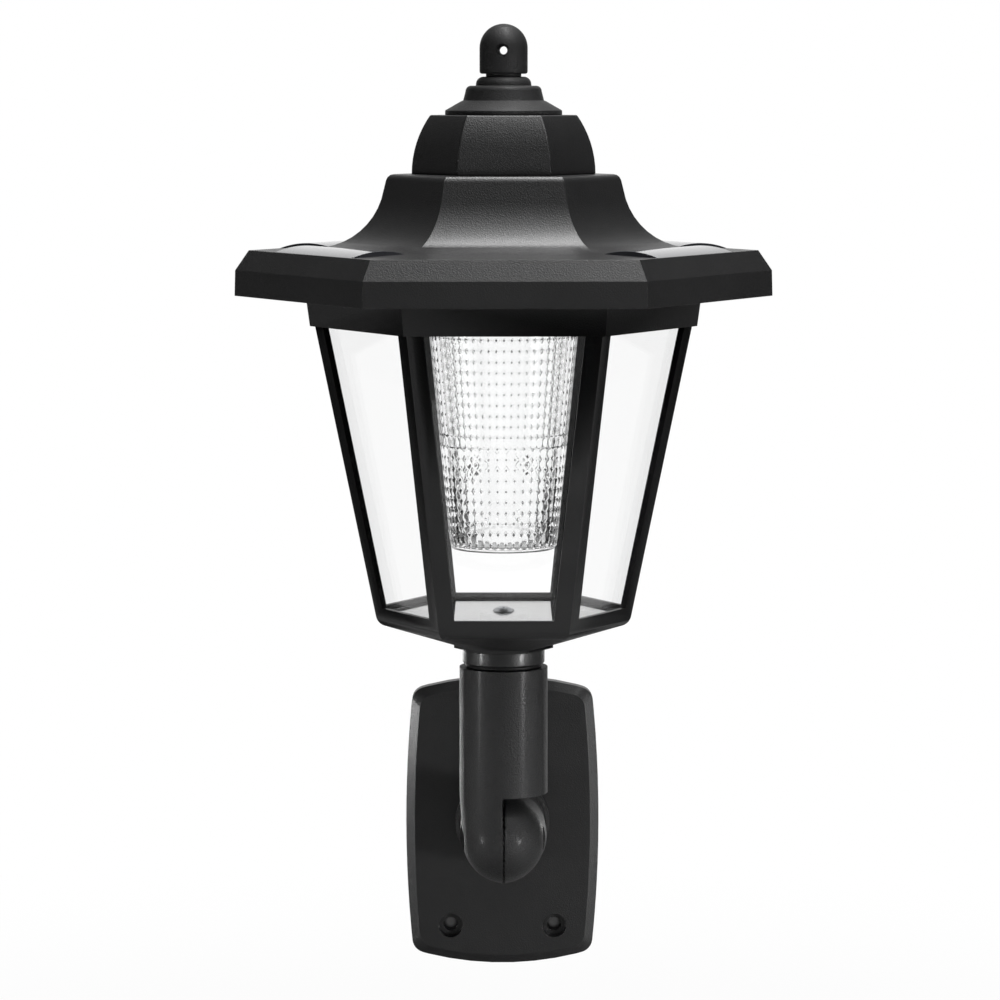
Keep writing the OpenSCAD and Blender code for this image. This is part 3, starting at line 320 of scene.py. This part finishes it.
# The diffuser: a tapered cup covered with rows of small square lenses that meet in steep grooves. A groove is
# deepest where four lenses meet, and half the line share as deep between two
CUP_MOUTH_R = 22.6 * MM
CUP_END_R = 15.5 * MM
CUP_LENGTH = 72.4 * MM
CUP_WALL = 1.5 * MM
CUP_FLANGE_H = 1.6 * MM
CUP_FLANGE_R = 24.2 * MM
CUP_END_ROUND = 1.2 * MM
CUP_END_PLAIN = 2 * MM
CUP_INNER_FOOT = 1.8 * MM
CUP_FLOOR_EDGE_R = 13.8 * MM
CUP_CREASE_ANGLE = 55
PRISM_PITCH = 3.1 * MM
PRISM_DEPTH = 0.34 * MM
LINE_SHARE = 0.18
BAND_AT = 38.6 * MM
BAND_H = 3.3 * MM
BAND_GROOVE = 0.22 * MM
COLUMNS_ABOVE = 60
COLUMNS_BELOW = 45
LENS_POWER = 4
END_STEPS = 6

# Where a lens has its points, as shares of its height and of its width. All rings have as many points
ROW_SHARES = (0, 0.07, 0.18, 0.34, 0.5, 0.66, 0.82, 0.93)
COLUMN_SHARES = {
    COLUMNS_ABOVE: (0, 0.08, 0.22, 0.5, 0.78, 0.92),
    COLUMNS_BELOW: (0, 0.06, 0.16, 0.3, 0.5, 0.7, 0.84, 0.94),
}
CUP_STEPS = COLUMNS_ABOVE * len(COLUMN_SHARES[COLUMNS_ABOVE])

LUG_R = 25.8 * MM
LUG_ROOT = 0.3 * MM
LUG_HALF_ANGLE = 14
LUG_STEPS = 8
LUG_COUNT = 3


def cup_radius(depth):
    return CUP_MOUTH_R + (CUP_END_R - CUP_MOUTH_R) * depth / CUP_LENGTH


def lens(share):
    """Height of a lens across its width: flat in the middle and steep at its sides."""
    return 1 - abs(2 * share - 1) ** LENS_POWER


def relief(across, along):
    """Height of a prism's face: deep where four prisms meet, shallow along the lines between two."""
    return 2 * (LINE_SHARE * (across + along) / 2 + (1 - LINE_SHARE) * (1 - (1 - across) * (1 - along)))


def prism_rings():
    """Radius, depth below the mouth, lens height and columns of each ring.

    The two zones are parted by a taller row of lenses between two deeper grooves.
    """
    above = int(BAND_AT / PRISM_PITCH)
    below = int((CUP_LENGTH - BAND_AT - BAND_H - CUP_END_PLAIN) / PRISM_PITCH)
    rows = [(BAND_AT - (above - row) * PRISM_PITCH, PRISM_PITCH, COLUMNS_ABOVE) for row in range(above)]
    rows.append((BAND_AT, BAND_H, COLUMNS_ABOVE))
    rows += [(BAND_AT + BAND_H + row * PRISM_PITCH, PRISM_PITCH, COLUMNS_BELOW) for row in range(below)]
    rows.append((rows[-1][0] + PRISM_PITCH, 0, COLUMNS_BELOW))
    rings = []
    for start, height, columns in rows:
        for share in ROW_SHARES if height else (0,):
            depth = start + share * height
            groove = BAND_GROOVE if share == 0 and start in (BAND_AT, BAND_AT + BAND_H) else 0
            rings.append((cup_radius(depth) - 2 * PRISM_DEPTH - groove, depth, lens(share), columns))
    return rings


def cup_outline():
    """Rings from the middle of the outer floor, over the mouth, to the middle of the inner floor."""
    mouth = cup_top - CUP_FLANGE_H
    foot = mouth - CUP_LENGTH
    plain = [(0.5 * CUP_FLOOR_EDGE_R, foot), (CUP_END_R - CUP_END_ROUND, foot)]
    for k in range(1, END_STEPS + 1):
        a = math.pi / 2 * k / END_STEPS
        r = CUP_END_R - CUP_END_ROUND * (1 - math.sin(a))
        plain.append((r, foot + CUP_END_ROUND * (1 - math.cos(a))))
    rings = [(r, z, None, COLUMNS_BELOW) for r, z in plain]
    rings += [(r, mouth - depth, rise, columns) for r, depth, rise, columns in reversed(prism_rings())]
    last = [(cup_radius(0), mouth), (CUP_FLANGE_R, mouth), (CUP_FLANGE_R, cup_top),
            (CUP_MOUTH_R - CUP_WALL, cup_top),
            (cup_radius(CUP_LENGTH / 2) - CUP_WALL, mouth - CUP_LENGTH / 2),
            (cup_radius(CUP_LENGTH - CUP_INNER_FOOT) - CUP_WALL, foot + CUP_INNER_FOOT),
            (CUP_FLOOR_EDGE_R, foot + CUP_WALL), (0.5 * CUP_FLOOR_EDGE_R, foot + CUP_WALL)]
    return foot, rings + [(r, z, None, COLUMNS_ABOVE) for r, z in last]


def prismatic_cup():
    """The diffuser as one mesh, with its lugs."""
    foot, rings = cup_outline()
    points = [(AXIS.x, AXIS.y, foot)]
    for radius, z, rise, columns in rings:
        shares = COLUMN_SHARES[columns]
        for column in range(columns):
            for share in shares:
                a = 2 * math.pi * (column + share) / columns
                r = radius if rise is None else radius + PRISM_DEPTH * relief(rise, lens(share))
                points.append((AXIS.x + r * math.cos(a), AXIS.y + r * math.sin(a), z))
    points.append((AXIS.x, AXIS.y, foot + CUP_WALL))
    faces = []
    for i in range(CUP_STEPS):
        j = (i + 1) % CUP_STEPS
        faces.append((0, 1 + j, 1 + i))
        for k in range(len(rings) - 1):
            a, b = 1 + k * CUP_STEPS, 1 + (k + 1) * CUP_STEPS
            faces.append((a + i, a + j, b + j, b + i))
        faces.append((len(points) - 1, b + i, b + j))
    cup = mesh_object("diffuser_prisms", points, faces)
    add_lugs(cup, cup_top - CUP_FLANGE_H)
    smooth_by_angle(cup, CUP_CREASE_ANGLE)
    return cup


def add_lugs(cup, mouth):
    """The bayonet lugs outside the flange."""
    lugs = []
    n = LUG_STEPS + 1
    for k in range(LUG_COUNT):
        start = 360 * k / LUG_COUNT - LUG_HALF_ANGLE
        points = []
        for z in (mouth, cup_top):
            for r in (CUP_FLANGE_R - LUG_ROOT, LUG_R):
                for i in range(n):
                    a = math.radians(start + 2 * LUG_HALF_ANGLE * i / LUG_STEPS)
                    points.append((AXIS.x + r * math.cos(a), AXIS.y + r * math.sin(a), z))
        faces = [(0, n, 3 * n, 2 * n), (n - 1, 3 * n - 1, 4 * n - 1, 2 * n - 1)]
        for i in range(LUG_STEPS):
            faces.append((i, i + 1, n + i + 1, n + i))
            faces.append((2 * n + i, 3 * n + i, 3 * n + i + 1, 2 * n + i + 1))
            faces.append((n + i, n + i + 1, 3 * n + i + 1, 3 * n + i))
            faces.append((i, 2 * n + i, 2 * n + i + 1, i + 1))
        lugs.append(mesh_object(f"lug_{k}", points, faces))
    with bpy.context.temp_override(active_object=cup, selected_editable_objects=[cup, *lugs]):
        bpy.ops.object.join()


# Stage, light and world

# The floor's half width, its depth below the plate and its colour. What the camera sees of it is mixed with
# white, by the fade's share below the lantern and wholly from the far distance on
FLOOR_HALF = 6
FLOOR_DROP = 60 * MM
FLOOR_GREY = (0.35, 0.35, 0.35)
FADE_FROM = 0.1
FADE_TO = 0.55
FADE_SHARE = 0.93

# Places of the wall plate's screw holes, across and up, and the discs of painted shade behind them: their
# radius, their depth behind the plate's back, and the radii between which they go from a pale painted
# highlight to dark painted shade
WALL_HOLES = ((-16.15 * MM, -33 * MM), (16.15 * MM, -33 * MM), (0, 33 * MM))
DISC_R = 3.4 * MM
DISC_STEPS = 24
DISC_DEPTH = 0.5 * MM
DISC_HIGHLIGHT_R = 0.8 * MM
DISC_SHADE_R = 2.3 * MM
# Colours of the painted highlight in the discs' middle and of the painted shade round it
DISC_PAINTED_HIGHLIGHT = (0.5, 0.5, 0.5)
DISC_PAINTED_SHADE = (0.02, 0.02, 0.02)


def add_floor():
    """A pale floor that fades into the white background, so that only a faint shadow shows."""
    corners = [(x * FLOOR_HALF, y * FLOOR_HALF, 0) for x, y in ((-1, -1), (1, -1), (1, 1), (-1, 1))]
    floor = mesh_object("floor", corners, [(0, 1, 2, 3)])
    floor.location = (AXIS.x, AXIS.y, plate_low.z - FLOOR_DROP)
    material, tree, shader = new_material("floor")
    shader.inputs["Base Color"].default_value = (*FLOOR_GREY, 1)
    shader.inputs["Roughness"].default_value = 0.8
    white = node(tree, "ShaderNodeEmission", Strength=1)
    share = node(tree, "ShaderNodeMath", operation="MULTIPLY")
    tree.links.new(seen_plainly(tree), share.inputs[0])
    tree.links.new(distance_fade(tree, FADE_FROM, FADE_TO, FADE_SHARE, 1), share.inputs[1])
    mix = node(tree, "ShaderNodeMixShader")
    tree.links.new(share.outputs[0], mix.inputs["Fac"])
    tree.links.new(shader.outputs[0], mix.inputs[1])
    tree.links.new(white.outputs[0], mix.inputs[2])
    tree.links.new(mix.outputs[0], tree.nodes["Material Output"].inputs["Surface"])
    paint(floor, material)


def add_painted_hole_shade():
    """Discs on the wall behind the plate's screw holes: painted shade, dark round a paler middle that is a
    painted highlight.
    """
    material, tree, shader = new_material("shade")
    # Each disc's colour is painted light: a pale painted highlight in the middle, fading out to dark painted
    # shade
    edge = distance_fade(tree, DISC_HIGHLIGHT_R, DISC_SHADE_R, 0, 1)
    tree.links.new(ramp(tree, edge, DISC_PAINTED_HIGHLIGHT, DISC_PAINTED_SHADE), shader.inputs["Base Color"])
    shader.inputs["Roughness"].default_value = 0.7
    angles = [2 * math.pi * i / DISC_STEPS for i in range(DISC_STEPS)]
    rim = [(DISC_R * math.cos(a), 0, DISC_R * math.sin(a)) for a in angles]
    for k, (x, z) in enumerate(WALL_HOLES):
        disc = mesh_object(f"hole_shade_{k}", rim, [tuple(range(DISC_STEPS))])
        disc.location = (x, DISC_DEPTH, z)
        paint(disc, material)


def area_lamp(name, place, target, size, power, beam):
    data = bpy.data.lights.new(name, "AREA")
    data.shape = "RECTANGLE"
    data.size, data.size_y = size
    data.energy = power
    data.spread = math.radians(beam)
    lamp = link(bpy.data.objects.new(name, data))
    lamp.location = place
    lamp.rotation_euler = (Vector(target) - Vector(place)).to_track_quat("-Z", "Y").to_euler()


# Each lamp by name: its place, measured from the lantern's axis across and front to back, and its height;
# what it aims at; its width and length; its power in watts; and the angle of its beam in degrees. The strips
# draw the light lines along the tube, and the rim strips, behind the lantern, edge the knuckle. The aims are
# heights on the lantern's axis
AIMS = {"roof": canopy_low.z + 20 * MM, "post": tube_low.z + 30 * MM, "knuckle": tube_low.z + 24 * MM}
ABOVE = canopy_low.z + 1.0
SOFT = 180
LAMPS = {
    "overhead_softbox": ((0.13, 0.03, ABOVE), "roof", (0.9, 0.26), 13.8, SOFT),
    "front_top_softbox": ((0.45, -0.6, ABOVE), "roof", (0.7, 0.5), 6, SOFT),
    "front_fill": ((0.3, -1.6, 0.5), "roof", (0.9, 0.7), 1.3, SOFT),
    "left_strip": ((-0.95, -0.42, -0.02), "post", (0.14, 0.16), 0.125, 30),
    "right_strip": ((0.85, -0.68, -0.02), "post", (0.14, 0.16), 0.31, 36),
    "left_rim_strip": ((-0.36, 0.75, -0.03), "knuckle", (0.05, 0.08), 0.007, 8),
    "right_rim_strip": ((0.36, 0.75, -0.03), "knuckle", (0.05, 0.08), 0.0015, 8),
}


def add_lights():
    for name, ((x, y, z), aim, size, power, beam) in LAMPS.items():
        area_lamp(name, (x, AXIS.y + y, z), (0, AXIS.y, AIMS[aim]), size, power, beam)


# The world's strength: white straight behind the lantern, dim for gloss from the sides and for diffuse light.
# Gloss goes from dim to white between the two values of a direction's part along the front-to-back line
WHITE = 1
GLOSS_SIDE = 0.05
DIFFUSE_WORLD = 0.15
BEHIND_FROM = 0.7
BEHIND_TO = 0.99


def blend(tree, share, first, second):
    """Goes from the first value, a number or an output, to the second as the share goes from 0 to 1."""
    made = node(tree, "ShaderNodeMix", data_type="FLOAT")
    factor, first_input, second_input = (made.inputs[place] for place in (0, 2, 3))
    tree.links.new(share, factor)
    for value, target in ((first, first_input), (second, second_input)):
        if isinstance(value, (int, float)):
            target.default_value = value
        else:
            tree.links.new(value, target)
    return made.outputs[0]


def add_world():
    """White for the camera and through clear plastic; gloss sees it white only straight behind the object."""
    world = bpy.data.worlds.new("world")
    bpy.context.scene.world = world
    world.use_nodes = True
    tree = world.node_tree
    back = tree.nodes["Background"]
    coordinates = node(tree, "ShaderNodeTexCoord")
    parts = node(tree, "ShaderNodeSeparateXYZ")
    tree.links.new(coordinates.outputs["Generated"], parts.inputs[0])
    gloss = node(tree, "ShaderNodeMapRange", interpolation_type="SMOOTHSTEP")
    gloss.inputs["From Min"].default_value = BEHIND_FROM
    gloss.inputs["From Max"].default_value = BEHIND_TO
    gloss.inputs["To Min"].default_value = GLOSS_SIDE
    gloss.inputs["To Max"].default_value = WHITE
    tree.links.new(parts.outputs["Y"], gloss.inputs["Value"])
    path = node(tree, "ShaderNodeLightPath")
    dim = blend(tree, path.outputs["Is Glossy Ray"], DIFFUSE_WORLD, gloss.outputs["Result"])
    back.inputs["Color"].default_value = (1, 1, 1, 1)
    tree.links.new(blend(tree, seen_plainly(tree), dim, WHITE), back.inputs["Strength"])


# Widths of the rounded edges, in millimetres. The wall plate's bevel is gentle, so its edges are rounded from
# a smaller angle on, in degrees
EDGE_WIDTHS = {
    "wall_plate": 0.9, "bracket_arm": 0.3, "post_tube": 0.3, "neck_spigot": 0.4, "lantern_frame": 0.35,
    "roof_canopy": 0.45, "dome_cap": 0.4, "top_collar": 0.3, "hanging_finial": 0.3, "lamp_tray": 0.2,
    "clear_liner": 0.2,
}
COVER_EDGE_WIDTH = 0.12
PLATE_EDGE_ANGLE = 12

# The directions that the four solar panels face, in degrees
PANEL_TURNS = {"front_left": 210, "front_right": 330, "back_left": 150, "back_right": 30}


def dress():
    """Gives every CAD node its finish."""
    black = black_plastic("black_plastic", rough=(0.25, 0.7), grain=0.8, sheen=0.2)
    grainy = black_plastic("grainy_black_plastic", rough=(0.38, 0.8), grain=1.7, sheen=0.06)
    matte = black_plastic("matte_black_plastic", rough=(0.45, 0.85), grain=1.0, sheen=0.05)
    inner_black = black_plastic("inner_black_plastic", (0.4, 0.7), 0.5, 0, INNER_DARK, INNER_LIGHT)
    clear = clear_plastic("clear_plastic", LINER_TINT, rough=0.0, wave=0.03, wall_ior=1.18, flat_ior=1.6)
    cover = cover_plastic()
    steel = plated_steel("plated_steel", (0.62, 0.63, 0.65), 0.25)
    finishes = {
        "wall_plate": black, "bracket_arm": grainy, "post_tube": grainy, "neck_spigot": black,
        "lantern_frame": black, "roof_canopy": black, "dome_cap": black, "top_collar": matte,
        "hanging_finial": matte, "lamp_tray": inner_black, "clear_liner": clear,
        "arm_screws": steel, "tilt_screw": steel, "tilt_nut": steel, "floor_screw": steel,
        "tray_screws": steel, "board_screws": steel, "finial_screw": steel,
        "battery_contacts": plated_steel("nickel_strip", (0.7, 0.69, 0.65), 0.3),
        "switch_body": satin("switch_case", (0.03, 0.03, 0.03), (0.05, 0.05, 0.05), 0.4),
        "switch_slider": satin("pale_plastic", (0.6, 0.6, 0.56), (0.7, 0.7, 0.66), 0.4),
        "circuit_board": satin("solder_mask", (0.015, 0.09, 0.03), (0.03, 0.15, 0.05), 0.3),
        "led": clear_plastic("led_lens", LED_TINT, rough=0.05, wave=0.0, wall_ior=1.49, flat_ior=1.49),
        "battery": satin("battery_sleeve", (0.03, 0.16, 0.06), (0.05, 0.22, 0.09), 0.25),
        "battery_wires": satin("red_wire", (0.3, 0.015, 0.015), (0.4, 0.025, 0.02), 0.4),
        "solar_wires": satin("black_wire", (0.015, 0.015, 0.016), (0.03, 0.03, 0.032), 0.45),
    }
    for name, turn in PANEL_TURNS.items():
        finishes["solar_cell_" + name] = cell_silicon(turn)
        finishes["solar_cover_" + name] = cover
    for name, material in finishes.items():
        paint(nodes[name], material)


def soften_edges():
    for name, width in EDGE_WIDTHS.items():
        soften(nodes[name], width * MM, PLATE_EDGE_ANGLE if name == "wall_plate" else EDGE_ANGLE)
    for name in PANEL_TURNS:
        soften(nodes["solar_cover_" + name], COVER_EDGE_WIDTH * MM, EDGE_ANGLE)


def add_diffuser():
    cup = prismatic_cup()
    paint(cup, clear_plastic("prism_plastic", PRISM_TINT, rough=0.02, wave=0.0, wall_ior=1.38, flat_ior=1.38))
    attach(cup, "diffuser")
    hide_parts("diffuser_cup")


bpy.context.scene.view_settings.view_transform = "Standard"
add_camera()
add_floor()
add_painted_hole_shade()
add_lights()
add_world()
dress()
soften_edges()
add_diffuser()
